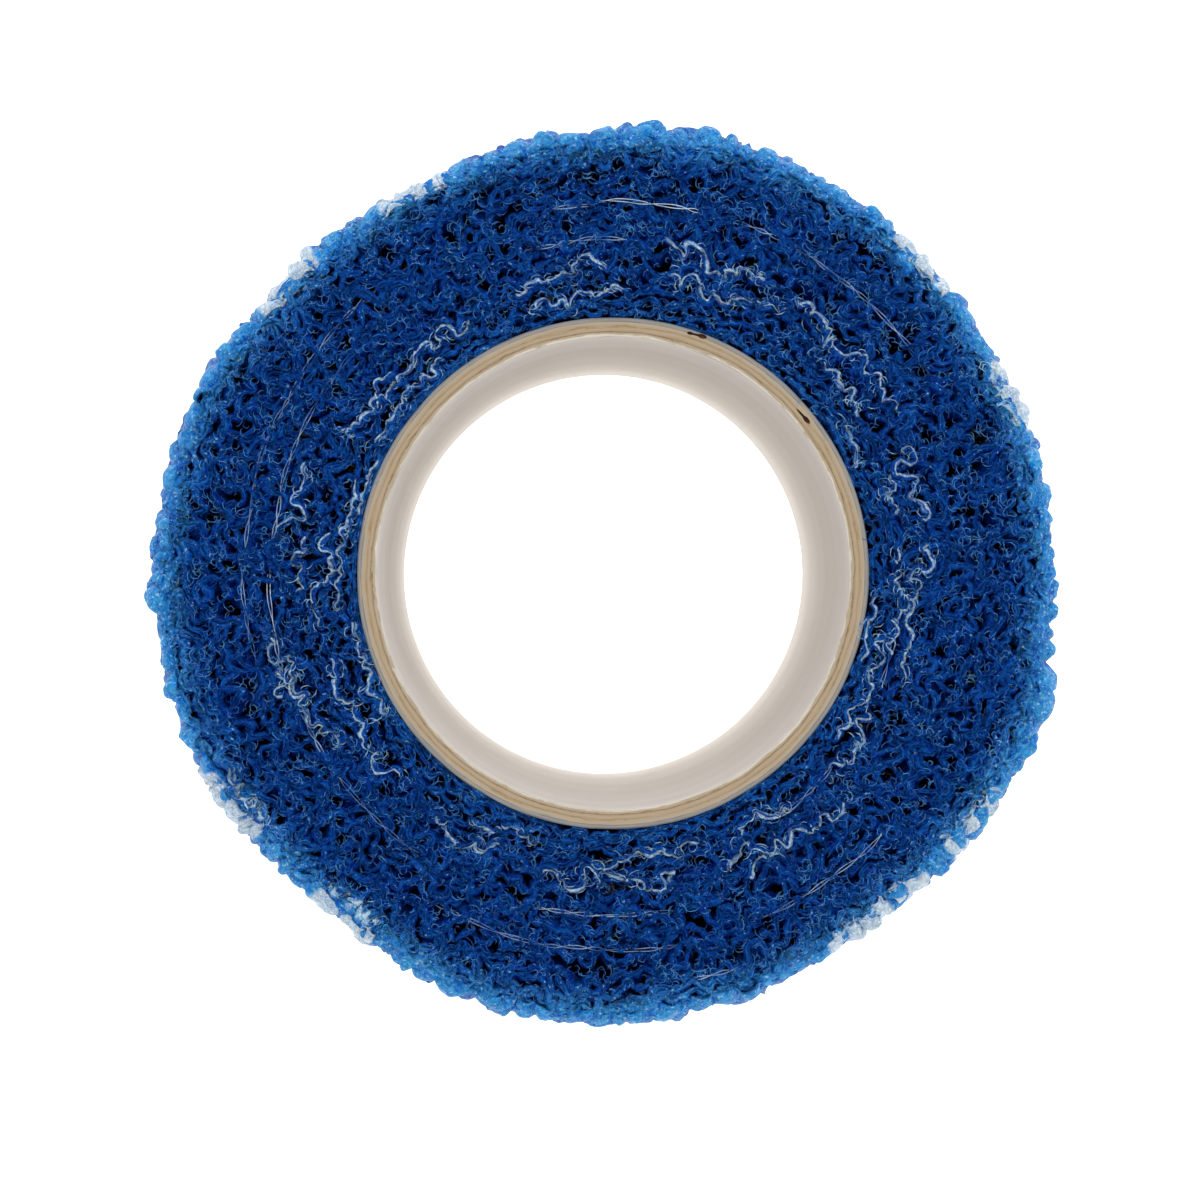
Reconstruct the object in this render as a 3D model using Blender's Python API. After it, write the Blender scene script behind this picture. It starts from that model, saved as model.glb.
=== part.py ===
"""Cohesive bandage roll: a crinkled elastic wrap wound on a spiral-wound paperboard core.

Metres, +Z up. The roll lies on one slit end with its bore upright. The origin is on the
bore's axis, at the surface that the roll lies on.
"""

import math
from typing import NamedTuple

import bmesh
import bpy
from mathutils import Matrix

MM = 0.001

# The wrap and its core are slit to one length.
WRAP_WIDTH = 50.0 * MM
CORE_BORE_RADIUS = 12.70 * MM
CORE_WALL = 1.11 * MM
CORE_RIM_EASE = 0.15 * MM
CORE_STEPS = 72

# The wound wrap, from the core outwards. The outermost turn climbs by one layer as it goes
# round, and ends in the wrap's stuck-down tail.
FIT_GAP = 0.30 * MM
LAYER = 0.50 * MM
OUTER_RADIUS = 24.30 * MM
TAIL_BEARING = 347.0
OUTLINE_POINTS = 96

# The outer turns round over at both slit ends, and the side has a slight belly.
SHOULDER_IN = 1.60 * MM
SHOULDER_DOWN = 2.40 * MM
SHOULDER_STEPS = 4
BELLY = 0.20 * MM
BELLY_STEPS = 4


class Lobe(NamedTuple):
    """How far the outermost turn stands out of its even spiral at a bearing in degrees."""

    bearing: float
    out_mm: float


# Hand winding leaves flats, about a quarter turn apart, with fuller stretches between them.
LOBES = [
    Lobe(bearing=0, out_mm=0.01),
    Lobe(bearing=27, out_mm=-0.12),
    Lobe(bearing=50, out_mm=0.10),
    Lobe(bearing=75, out_mm=0.37),
    Lobe(bearing=96, out_mm=-0.12),
    Lobe(bearing=117, out_mm=-0.52),
    Lobe(bearing=138, out_mm=-0.28),
    Lobe(bearing=160, out_mm=0.51),
    Lobe(bearing=183, out_mm=0.69),
    Lobe(bearing=205, out_mm=0.51),
    Lobe(bearing=222, out_mm=-0.23),
    Lobe(bearing=236, out_mm=-0.32),
    Lobe(bearing=262, out_mm=0.18),
    Lobe(bearing=285, out_mm=-0.23),
    Lobe(bearing=306, out_mm=-0.68),
    Lobe(bearing=325, out_mm=-0.38),
    Lobe(bearing=343, out_mm=0.15),
    Lobe(bearing=351, out_mm=0.12),
]


def lobe_at(bearing):
    """The outline's stand-out at a bearing, eased from one lobe to the next."""
    for here, ahead in zip(LOBES, LOBES[1:] + LOBES[:1]):
        span = (ahead.bearing - here.bearing) % 360
        along = (bearing - here.bearing) % 360
        if along < span:
            ease = (1 - math.cos(math.pi * along / span)) / 2
            return (here.out_mm + (ahead.out_mm - here.out_mm) * ease) * MM
    raise ValueError(f"no lobe spans a bearing of {bearing}")


def outline_radius(bearing):
    """Radius of the outermost turn: its spiral, which steps down past the tail, and its lobes."""
    turned = ((bearing - TAIL_BEARING) / 360) % 1
    return OUTER_RADIUS + LAYER * turned + lobe_at(bearing)


def side_profile():
    """(inset from the outline, height) up the outside, from the bottom face to the top face."""
    low, high = SHOULDER_DOWN, WRAP_WIDTH - SHOULDER_DOWN
    quarter = [math.pi / 2 * step / SHOULDER_STEPS for step in range(SHOULDER_STEPS + 1)]
    bottom = [(SHOULDER_IN * (1 - math.sin(a)), low * (1 - math.cos(a))) for a in quarter]
    belly = []
    for step in range(1, BELLY_STEPS):
        part = step / BELLY_STEPS
        belly.append((-BELLY * math.sin(math.pi * part), low + (high - low) * part))
    top = [(inset, WRAP_WIDTH - height) for inset, height in reversed(bottom)]
    return bottom + belly + top


def extrude_ring(bm, ring, radius_of, height):
    """Extrudes a closed ring of edges to radius_of(bearing) at one height. Returns the new ring."""
    made = bmesh.ops.extrude_edge_only(bm, edges=ring)["geom"]
    points = {item for item in made if isinstance(item, bmesh.types.BMVert)}
    for point in points:
        turn = math.atan2(point.co.y, point.co.x)
        radius = radius_of(math.degrees(turn) % 360)
        point.co = (radius * math.cos(turn), radius * math.sin(turn), height)
    edges = [item for item in made if isinstance(item, bmesh.types.BMEdge)]
    return [edge for edge in edges if points.issuperset(edge.verts)]


def wound_wrap_mesh():
    """One closed solid of the wound form: a ring drawn round the bore, extruded out over the
    bottom face, up the side and in over the top face, then joined to itself down the inside."""
    inner = CORE_BORE_RADIUS + CORE_WALL + FIT_GAP
    past_tail = math.radians(TAIL_BEARING) + math.pi / OUTLINE_POINTS
    bm = bmesh.new()
    bmesh.ops.create_circle(
        bm,
        segments=OUTLINE_POINTS,
        radius=inner,
        matrix=Matrix.Rotation(past_tail, 4, "Z"),
    )
    first_ring = list(bm.edges)
    ring = first_ring
    for inset, height in side_profile():
        ring = extrude_ring(bm, ring, lambda bearing: outline_radius(bearing) - inset, height)
    last_ring = extrude_ring(bm, ring, lambda bearing: inner, WRAP_WIDTH)
    bmesh.ops.bridge_loops(bm, edges=first_ring + last_ring)
    bmesh.ops.recalc_face_normals(bm, faces=bm.faces)
    return finished_mesh(bm, "wound_wrap")


def core_mesh():
    """The tube's wall section, with eased rims, spun round the bore's axis."""
    inner, outer = CORE_BORE_RADIUS, CORE_BORE_RADIUS + CORE_WALL
    ease, top = CORE_RIM_EASE, WRAP_WIDTH
    section = [
        (inner + ease, 0),
        (outer - ease, 0),
        (outer, ease),
        (outer, top - ease),
        (outer - ease, top),
        (inner + ease, top),
        (inner, top - ease),
        (inner, ease),
    ]
    bm = bmesh.new()
    points = [bm.verts.new((radius, 0, height)) for radius, height in section]
    edges = [bm.edges.new(pair) for pair in zip(points, points[1:] + points[:1])]
    bmesh.ops.spin(
        bm,
        geom=points + edges,
        cent=(0, 0, 0),
        axis=(0, 0, 1),
        angle=math.tau,
        steps=CORE_STEPS,
        use_merge=True,
    )
    bmesh.ops.recalc_face_normals(bm, faces=bm.faces)
    return finished_mesh(bm, "paper_core")


def finished_mesh(bm, name):
    """Writes a bmesh to a mesh that is shaded smooth, with its real edges kept sharp."""
    mesh = bpy.data.meshes.new(name)
    bm.to_mesh(mesh)
    bm.free()
    mesh.shade_smooth()
    mesh.set_sharp_from_angle(angle=math.radians(40))
    return mesh


def plain_material(name, colour, roughness):
    """A Principled material in linear colour."""
    material = bpy.data.materials.new(name)
    material.use_nodes = True
    surface = material.node_tree.nodes["Principled BSDF"]
    surface.inputs["Base Color"].default_value = (*colour, 1)
    surface.inputs["Roughness"].default_value = roughness
    surface.inputs["Metallic"].default_value = 0
    return material


def add_piece(mesh, material, carrier):
    """Adds one named piece to the scene, carried by the roll's empty."""
    piece = bpy.data.objects.new(mesh.name, mesh)
    bpy.context.scene.collection.objects.link(piece)
    mesh.materials.append(material)
    piece.parent = carrier
    return piece


def build():
    for thing in list(bpy.data.objects):
        bpy.data.objects.remove(thing, do_unlink=True)
    roll = bpy.data.objects.new("roll_axis", None)
    bpy.context.scene.collection.objects.link(roll)
    kraft = plain_material("kraft_paperboard", (0.52, 0.42, 0.31), 0.85)
    blue = plain_material("blue_cohesive_nonwoven", (0.008, 0.075, 0.32), 0.55)
    add_piece(core_mesh(), kraft, roll)
    add_piece(wound_wrap_mesh(), blue, roll)


build()
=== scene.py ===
"""Looks of the cohesive bandage roll: one crinkled elastic wrap, wound on a paperboard core.

The wrap is made the way a converter makes it. A flat cloth is laid out, its slit edges are
given their thickness, it is crinkled as its elastic yarns draw it in, and it is wound turn on
turn round the core. Shapes are worked out in millimetres, and turned to the frame's metres as
they are written to a mesh.
"""

import math
from typing import NamedTuple

import bpy
import numpy as np
from mathutils import Matrix, Vector


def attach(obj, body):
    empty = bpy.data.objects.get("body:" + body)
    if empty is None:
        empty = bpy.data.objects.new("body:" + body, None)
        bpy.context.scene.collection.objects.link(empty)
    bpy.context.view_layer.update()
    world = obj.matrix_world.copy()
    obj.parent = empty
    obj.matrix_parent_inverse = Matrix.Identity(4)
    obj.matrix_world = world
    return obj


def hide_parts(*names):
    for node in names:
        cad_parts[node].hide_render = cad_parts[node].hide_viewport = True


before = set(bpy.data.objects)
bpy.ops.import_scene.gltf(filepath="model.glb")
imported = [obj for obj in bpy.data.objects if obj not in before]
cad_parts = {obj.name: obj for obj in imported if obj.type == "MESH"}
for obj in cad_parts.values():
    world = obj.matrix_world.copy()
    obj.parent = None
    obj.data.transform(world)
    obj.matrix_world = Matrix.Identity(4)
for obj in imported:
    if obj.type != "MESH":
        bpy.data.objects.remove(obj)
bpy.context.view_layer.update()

MM = 0.001
TAU = math.tau

# ---------------------------------------------------------------- sizes, from the frame


def node_points_mm(node):
    """The points of a CAD node, in millimetres."""
    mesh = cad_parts[node].data
    places = np.empty(len(mesh.vertices) * 3)
    mesh.vertices.foreach_get("co", places)
    return places.reshape(-1, 3) / MM


CORE_POINTS = node_points_mm("paper_core")
WRAP_POINTS = node_points_mm("wound_wrap")
WIDTH_MM = WRAP_POINTS[:, 2].max()
BORE_MM = np.hypot(CORE_POINTS[:, 0], CORE_POINTS[:, 1]).min()
CORE_OUT_MM = np.hypot(CORE_POINTS[:, 0], CORE_POINTS[:, 1]).max()

# The wrap. The pitch of its turns follows from how many fit between the core and the outline.
CLOTH_MM = 0.25
TURNS = 21
TAIL_DEG = 347.0
CORE_TO_FIRST_MM = 0.18
FIRST_TURN_MM = CORE_OUT_MM + CORE_TO_FIRST_MM
SHOULDER_IN_MM = 1.6
SHOULDER_DOWN_MM = 2.4

# A small gap that keeps neighbouring surfaces apart.
CLEAR_MM = 0.02

# How far inside the outline these lie: the shoulder that the inner turns' slit edges follow, the
# outermost of the inner turns, and the turn whose folds are copied by those outside it.
UNDER_SHOULDER_MM = 0.40
UNDER_LAST_MM = 1.0
NESTED_MM = 2.4

# The wrap is made in parts along its length, only to keep each mesh small. Each pair is the
# first and the last turn of a part. The cloth starts before turn 0, so that its inner end lies
# on the core, and the outermost turn is made apart, over the last of the inner ones.
INNER_PARTS = ((-0.65, 6.0), (6.0, 11.4), (11.4, 16.2), (16.2, 20.45))
LAST_TURN_PARTS = ((19.9, 20.45), (20.45, 21.0))

# The CAD's points within this of mid height give the outline.
MID_BAND_MM = 1

# Grid spacing along the cloth, as it is wound.
TURN_STEP_MM = 0.095
LAST_STEP_MM = 0.14


def cad_outline():
    """(bearings in degrees, radii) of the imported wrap's side at mid height, in order."""
    mid = WRAP_POINTS[np.abs(WRAP_POINTS[:, 2] - WIDTH_MM / 2) < MID_BAND_MM]
    bearings = np.degrees(np.arctan2(mid[:, 1], mid[:, 0])) % 360
    radii = np.hypot(mid[:, 0], mid[:, 1])
    outer = radii > (CORE_OUT_MM + radii.max()) / 2
    order = np.argsort(bearings[outer])
    return bearings[outer][order], radii[outer][order]


OUTLINE_DEG, OUTLINE_MM = cad_outline()
EVEN_OUT_MM = OUTLINE_MM.mean()


# ---------------------------------------------------------------- soft random fields

HASH_SIZE = 4096
HASH_TABLE = np.random.default_rng(20).uniform(-1, 1, HASH_SIZE)
HASH_STEPS = (1619, 31337, 6971)
HASH_SEED_STEP = 7919
HASH_FACTOR = 2654435761
HASH_RANGE = 2**31
HASH_LOW_PART = 64


def soft_noise(*coords, seed=0, around=0):
    """Smooth noise from -1 to 1 over one, two or three coordinates, one bump for each unit.

    The first coordinate comes round to its start after `around` units, where that is given.
    """
    coords = np.broadcast_arrays(*coords)
    cells = [np.floor(c).astype(np.int64) for c in coords]
    parts = [c - cell for c, cell in zip(coords, cells)]
    parts = [p * p * p * (p * (6 * p - 15) + 10) for p in parts]
    total = np.zeros(coords[0].shape)
    for corner in range(2 ** len(coords)):
        index = np.full(coords[0].shape, seed * HASH_SEED_STEP, np.int64)
        weight = np.ones(coords[0].shape)
        for axis, (cell, part) in enumerate(zip(cells, parts)):
            up = corner >> axis & 1
            step = cell + up
            if around and axis == 0:
                step = step % around
            index = (index ^ (step * HASH_STEPS[axis])) * HASH_FACTOR % HASH_RANGE
            weight = weight * (part if up else 1 - part)
        total += weight * HASH_TABLE[index // HASH_LOW_PART % HASH_SIZE]
    return total


class Field(NamedTuple):
    """A soft random field: the most that it adds or takes away, the size of its bumps along each
    coordinate, its seed, and how many bumps go round the roll where it starts with a bearing."""

    most: float
    sizes: tuple
    seed: int
    around: int = 0


def field_at(field, *places, piece=0):
    """A random field's value at some places, with a pattern of its own for each piece.

    A field that goes round the roll takes a bearing first, and has no size for it.
    """
    bumps = []
    if field.around:
        bumps.append(places[0] / TAU * field.around)
        places = places[1:]
    bumps += [place / size for place, size in zip(places, field.sizes)]
    return field.most * soft_noise(*bumps, seed=field.seed + piece, around=field.around)


def smooth_step(low, high, value):
    """0 at low and 1 at high, eased in between. Low may be the larger number."""
    part = np.clip((value - low) / (high - low), 0, 1)
    return part * part * (3 - 2 * part)


# ---------------------------------------------------------------- the winding


def pitch_mm():
    return (EVEN_OUT_MM - CLOTH_MM - FIRST_TURN_MM) / TURNS


def length_at(turn):
    """How much wound cloth lies inside a turn, in millimetres."""
    return TAU * (FIRST_TURN_MM * turn + pitch_mm() * turn**2 / 2)


def turn_at(length):
    """The turn that a length of wound cloth reaches."""
    pitch = pitch_mm()
    return (np.sqrt(FIRST_TURN_MM**2 + pitch * length / math.pi) - FIRST_TURN_MM) / pitch


def bearing_at(turn):
    return math.radians(TAIL_DEG) + TAU * (turn - TURNS)


def outline_at(bearing):
    return np.interp(np.degrees(bearing) % 360, OUTLINE_DEG, OUTLINE_MM, period=360)


def shoulder_inset(depth):
    """How far in from the outline the shoulder lies, at a depth from the slit end."""
    rise = np.clip(1 - depth / SHOULDER_DOWN_MM, 0, 1)
    return SHOULDER_IN_MM * (1 - np.sqrt(1 - rise**2))


RIM_FROM_MM = 3.7
RIM_WHOLE_MM = 0.4


def painted_rim_light(inset):
    """Painted light: how much paler the cloth is painted near the outline, where light comes through
    the fewer turns behind it.
    """
    return smooth_step(RIM_FROM_MM, RIM_WHOLE_MM, inset)


def shoulder_drop(inset):
    """How far under the slit end the shoulder lies, at an inset from the outline."""
    rise = np.clip(1 - inset / SHOULDER_IN_MM, 0, 1)
    return SHOULDER_DOWN_MM * (1 - np.sqrt(1 - rise**2))


# Folds that neighbouring turns share, in three sizes, how far they lean along the cloth, and how
# much they fold over where they are steep. Sizes are outwards from the axis and along it.
SWELLS = Field(0.35, (2.4, 4.0), seed=1, around=64)
FOLDS = Field(0.62, (1.2, 1.9), seed=2, around=130)
CURLS = Field(0.42, (0.7, 1.1), seed=3, around=250)
LEANS = Field(0.30, (1.1, 2.2), seed=4, around=110)
FOLD_OVER = 0.40
MOST_OVER_MM = 0.3
LEAST_RUN_MM = 1e-6

# Wrinkles of one turn on its own. Sizes are along the cloth and across it.
OWN_FOLDS = Field(0.15, (0.75, 1.5), seed=5)
OWN_CURLS = Field(0.18, (0.25, 0.7), seed=6)


def pressed_folds(bearing, radius, z):
    """(outwards, along) moves that neighbouring turns share, because they press together."""
    swell = field_at(SWELLS, bearing, radius, z)
    fold = field_at(FOLDS, bearing, radius, z)
    curl = field_at(CURLS, bearing, radius, z)
    out = swell + fold + curl
    run = np.abs(np.gradient(bearing, axis=0)) * radius
    slope = np.gradient(out, axis=0) / np.maximum(run, LEAST_RUN_MM)
    over = np.clip(-FOLD_OVER * (fold + curl) * slope, -MOST_OVER_MM, MOST_OVER_MM)
    return out, over + field_at(LEANS, bearing, radius, z)


def own_wrinkles(length, z):
    """Outwards moves of one turn on its own."""
    return field_at(OWN_FOLDS, length, z) + field_at(OWN_CURLS, length, z)


# Pores: lens-shaped gaps between turns, where their folds don't nest. They stand unevenly along
# the cloth and differ in size, and most open beside printed edges. Turns further off are pushed
# less, and over a longer stretch.
PORE_EVERY_MM = 1.35
PORE_PLACES = Field(0.45, (1.0, 1.0), seed=8)
PORE_SIZES = Field(1.9, (1.0, 2.6), seed=9)
PORE_SIZE = 0.25
PORE_SIZE_AT_PRINT = 0.5
PORE_OPEN_MM = 0.46
PORE_LONG_MM = 0.36
PORE_LONGER_MM = 0.12
PORE_REACH_TURNS = 3
PORE_FADE = 0.55


def pore_push(turn, z):
    """Outwards moves that open a pore between two turns here and there, and press the rest."""
    push = 0
    for gap in range(-PORE_REACH_TURNS, PORE_REACH_TURNS):
        side = -1 if gap >= 0 else 1
        turns_off = abs(gap + 0.5) - 0.5
        long = PORE_LONG_MM + PORE_LONGER_MM * turns_off
        open_mm = PORE_OPEN_MM * math.exp(-PORE_FADE * turns_off)
        place = length_at(turn + gap) / PORE_EVERY_MM
        at_print = PORE_SIZE_AT_PRINT * edge_ink(turn + gap)
        for step in (-1, 0, 1):
            middle = np.floor(place) + step + 0.5
            away = (place - middle - field_at(PORE_PLACES, middle, 0.5)) * PORE_EVERY_MM / long
            size = np.clip(field_at(PORE_SIZES, middle, z) + PORE_SIZE + at_print, 0, 1)
            push = push + side * open_mm * size * np.exp(-(away**2))
    return push


# ---------------------------------------------------------------- mesh helpers


def deselect_all():
    bpy.ops.object.select_all(action="DESELECT")


def set_points(piece, places_mm):
    piece.data.vertices.foreach_set("co", (places_mm * MM).astype(np.float32).ravel())
    piece.data.update()


def laid_cloth(name, columns, rows):
    """A flat cloth as a grid from -1 to 1, with its points' column and row numbers."""
    deselect_all()
    bpy.ops.mesh.primitive_grid_add(x_subdivisions=columns, y_subdivisions=rows, size=2)
    cloth = bpy.context.object
    cloth.name = cloth.data.name = name
    places = np.empty(len(cloth.data.vertices) * 3)
    cloth.data.vertices.foreach_get("co", places)
    places = places.reshape(-1, 3)
    column = np.rint((places[:, 0] + 1) / 2 * columns).astype(int)
    row = np.rint((places[:, 1] + 1) / 2 * rows).astype(int)
    return cloth, column, row


def add_attribute(piece, name, values):
    layer = piece.data.attributes.new(name, "FLOAT", "POINT")
    layer.data.foreach_set("value", values.astype(np.float32))


MERGE_M = 1e-7


def close_seam(piece):
    """Merges the two borders of a rolled-up grid, and points its faces outwards."""
    deselect_all()
    piece.select_set(True)
    bpy.context.view_layer.objects.active = piece
    bpy.ops.object.mode_set(mode="EDIT")
    bpy.ops.mesh.select_all(action="SELECT")
    bpy.ops.mesh.remove_doubles(threshold=MERGE_M)
    bpy.ops.mesh.normals_make_consistent(inside=False)
    bpy.ops.object.mode_set(mode="OBJECT")
    piece.data.shade_smooth()


# ---------------------------------------------------------------- the print


class InkRun(NamedTuple):
    """A stretch where the print runs off the slit edge of an inner turn, seen as a pale line."""

    radius_mm: float
    from_deg: float
    to_deg: float


INK_RUNS = [
    InkRun(16.1, 91, 109),
    InkRun(15.1, 88, 108),
    InkRun(17.8, 62, 81),
    InkRun(17.4, 31, 57),
    InkRun(16.0, 56, 79),
    InkRun(15.9, 32, 45),
    InkRun(14.5, 23, 33),
    InkRun(17.2, 9, 24),
    InkRun(15.7, 12, 19),
    InkRun(15.5, 2, 6),
    InkRun(16.3, -21, 6),
    InkRun(15.6, -16, 1),
    InkRun(15.0, -36, -13),
    InkRun(14.2, -19, -5),
    InkRun(16.2, -44, -29),
    InkRun(17.5, -69, -46),
    InkRun(18.4, -65, -60),
    InkRun(15.2, -65, -53),
    InkRun(15.5, -94, -72),
    InkRun(16.7, -103, -78),
    InkRun(15.1, -120, -105),
    InkRun(16.3, -126, -112),
    InkRun(15.8, -163, -136),
    InkRun(14.5, -169, -148),
    InkRun(17.8, -166, -148),
    InkRun(18.4, -170, -165),
    InkRun(18.9, -164, -159),
    InkRun(17.0, 161, 184),
    InkRun(15.6, 172, 190),
    InkRun(14.8, 160, 187),
    InkRun(14.2, 155, 167),
    InkRun(16.3, 138, 153),
    InkRun(15.8, 120, 146),
    InkRun(14.8, 128, 151),
    InkRun(23.5, 20, 29),
    InkRun(23.5, 41, 49),
    InkRun(23.5, 114, 122),
    InkRun(23.5, 134, 143),
    InkRun(23.5, 207, 215),
    InkRun(23.5, 228, 236),
    InkRun(23.5, 301, 309),
    InkRun(23.5, 321, 330),
]

# The printed bars of the outermost turn: pairs of plain slanted bars, soft at their sides.
BAR_FIRST_DEG = 24.4
BAR_REPEAT_DEG = 93.6
BAR_PAIR_DEG = 20.6
BAR_WIDE_DEG = 10.5
BAR_SLANT_DEG = 14.0
BAR_SIDE = (0.8, 1.15)


def edge_ink(turn):
    """How inky the slit edge is at each turn, from 0 to 1."""
    bearing = np.degrees(bearing_at(turn)) % 360
    radius = FIRST_TURN_MM + pitch_mm() * turn
    ink = np.zeros(turn.shape)
    for run in INK_RUNS:
        middle = (run.from_deg + run.to_deg) / 2
        half = (run.to_deg - run.from_deg) / 2
        off = np.abs((bearing - middle + 180) % 360 - 180)
        inside = (off < half) & (np.abs(radius - run.radius_mm) < pitch_mm() / 2)
        ink[inside] = 1
    return ink


def bar_ink(bearing, z):
    """How inky the outermost turn is, from 0 to 1, with its bars printed right across it."""
    at = np.degrees(bearing) - BAR_FIRST_DEG + BAR_SLANT_DEG * (1 - z / WIDTH_MM)
    ink = np.zeros(at.shape)
    for start in (0, BAR_PAIR_DEG):
        off = np.abs((at - start + BAR_REPEAT_DEG / 2) % BAR_REPEAT_DEG - BAR_REPEAT_DEG / 2)
        ink = np.maximum(ink, 1 - smooth_step(*BAR_SIDE, off / (BAR_WIDE_DEG / 2)))
    return ink


# ---------------------------------------------------------------- the wrap's inner turns


class Line(NamedTuple):
    """A line of points along the cloth, on its way round the cloth's section."""

    face: int
    top: bool
    depth_mm: float


# The lines under the upper slit edge, with how thick the cloth is there: thin at its crest and
# fullest just below it. The lower end, which is hidden, has one line. Shallower than CREST_MM is
# the crest itself.
TOP_DEPTHS_MM = (0.02, 0.35, 1.2)
TOP_THICKNESS = (0.50, 1.42, 1.30)
BOTTOM_DEPTHS_MM = (0.02,)
CREST_MM = 0.1

# The slit edge: ragged, sunk under the shoulder's curve, with a groove between its two skins.
# Sizes are along the cloth, or outwards, and then from one end, line or face to the next.
EDGE_SUNK_MM = 0.22
RAGGED_TURNS = Field(0.30, (1.0, 1 / 5), seed=10, around=120)
RAGGED_CLOTH = Field(0.10, (0.33, 1 / 5, 1 / 0.6), seed=11)
TUFTS = Field(0.12, (0.26, 1 / 3.1), seed=14)
LINE_DEPTHS = Field(0.40, (0.4, 1 / 0.7), seed=12)
GROOVE_MM = 0.20
GROOVE_DEPTHS = Field(0.80, (0.6,), seed=15)

# Ink stiffens a slit edge, so that it stands proud and stays thick. It also reaches into the
# groove, and here and there through to the other face.
INK_PROUD_MM = 0.20
INK_THICKER = 0.22
INK_IN_GROOVE = 0.3
INK_THROUGH = 0.12
INK_THROUGH_HERE = Field(0.60, (0.9,), seed=16)

# The unevenness of each skin, and how much fuller the turns are drawn next to the outermost one,
# from the first of these turns to the second.
SKINS = Field(0.90, (0.25, 0.5, 1 / 5.3), seed=13)
FULLER = 0.6
FULLER_TURNS = (16.0, 19.5)

# The flats of the outline fade towards the round core, with this power of the turn.
LOBE_POWER = 1.6

# At the slit ends the inner turns come nearer the outline, where nothing covers them.
END_NEARER_MM = 0.25
END_NEARER_FROM_MM = 2.0
END_NEAREST_MM = 0.5

# How pale the web is painted, from 0 to 1, as painted light and shade: all over, at the slit edge
# and how deep that reaches, so that its folds are painted darker further down, at its crest, as a
# painted highlight, at the outline, where light comes through the few turns behind it, and on the
# few turns next to the core.
PALE_WEB = 0.08
PALE_EDGE = 0.10
PALE_EDGE_MM = 0.6
PALE_CREST = 0.12
PALE_OUTLINE = 0.72
PALE_CORE = 0.21
PALE_CORE_TURNS = 4.0


class Pressed(NamedTuple):
    """Folds or pores that the core and the outermost turn press flat: the share that is left on
    the core, the turn from which they are whole, the turns between which they shrink again, and
    the share that they lose there."""

    left_at_core: float
    whole_turn: float
    from_turn: float
    to_turn: float
    lost_outside: float


FOLDS_PRESSED = Pressed(0.38, 6.5, 17.0, 19.8, 0.4)
PORES_PRESSED = Pressed(0.50, 5.0, 17.5, 19.5, 0.7)


def share_left(pressed, turn):
    """The share of folds or pores that is left at a turn."""
    freed = smooth_step(0.0, pressed.whole_turn, turn)
    near_core = pressed.left_at_core + (1 - pressed.left_at_core) * freed
    outside = smooth_step(pressed.from_turn, pressed.to_turn, turn)
    return near_core * (1 - pressed.lost_outside * outside)


def section_lines():
    """The lines round the section: up the outer face, over the top edge, down the inner face."""
    up = [Line(1, False, depth) for depth in BOTTOM_DEPTHS_MM]
    up += [Line(1, True, depth) for depth in reversed(TOP_DEPTHS_MM)]
    down = [line._replace(face=-1) for line in reversed(up)]
    ring = [Line(0, False, 0), *up, Line(0, True, 0), *down]
    return ring + ring[:1]


def under_slit_end(length, radius, face, top, depth):
    """How far the lines of points lie under their slit end, along the ragged edges of turns."""
    turn = turn_at(length)
    bearing = bearing_at(turn)
    number = np.arange(face.size)[None]
    ragged = field_at(RAGGED_TURNS, bearing, radius, top)
    ragged = ragged + field_at(RAGGED_CLOTH, length, top, number)
    inset = outline_at(bearing) - radius - UNDER_SHOULDER_MM
    edge = np.maximum(shoulder_drop(inset) + EDGE_SUNK_MM + ragged, CLEAR_MM)
    proud = INK_PROUD_MM * edge_ink(turn) * top
    tuft = field_at(TUFTS, length, face) * (depth < CREST_MM)
    groove = np.where(face == 0, GROOVE_MM * (1 + field_at(GROOVE_DEPTHS, length)), 0.0)
    below = depth * (1 + field_at(LINE_DEPTHS, length, number))
    return np.maximum(edge - proud + tuft + groove + below, 0.0)


def crinkled(length, radius, z, from_edge):
    """(distance from the axis, bearing) of each point, once the turns are crinkled."""
    turn = turn_at(length)
    bearing = bearing_at(turn)
    outline = outline_at(bearing)
    out, back = pressed_folds(bearing, np.minimum(radius, outline - NESTED_MM), z)
    left = share_left(FOLDS_PRESSED, turn)
    out = (out + own_wrinkles(length, z)) * left
    out = out + pore_push(turn, z) * share_left(PORES_PRESSED, turn)
    nearer = END_NEARER_MM * smooth_step(END_NEARER_FROM_MM, END_NEAREST_MM, from_edge)
    furthest = outline - shoulder_inset(from_edge) - UNDER_LAST_MM + nearer
    away = np.clip(radius + out, CORE_OUT_MM + CLOTH_MM / 2 + CLEAR_MM, furthest)
    return away, bearing + back * left / radius


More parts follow.
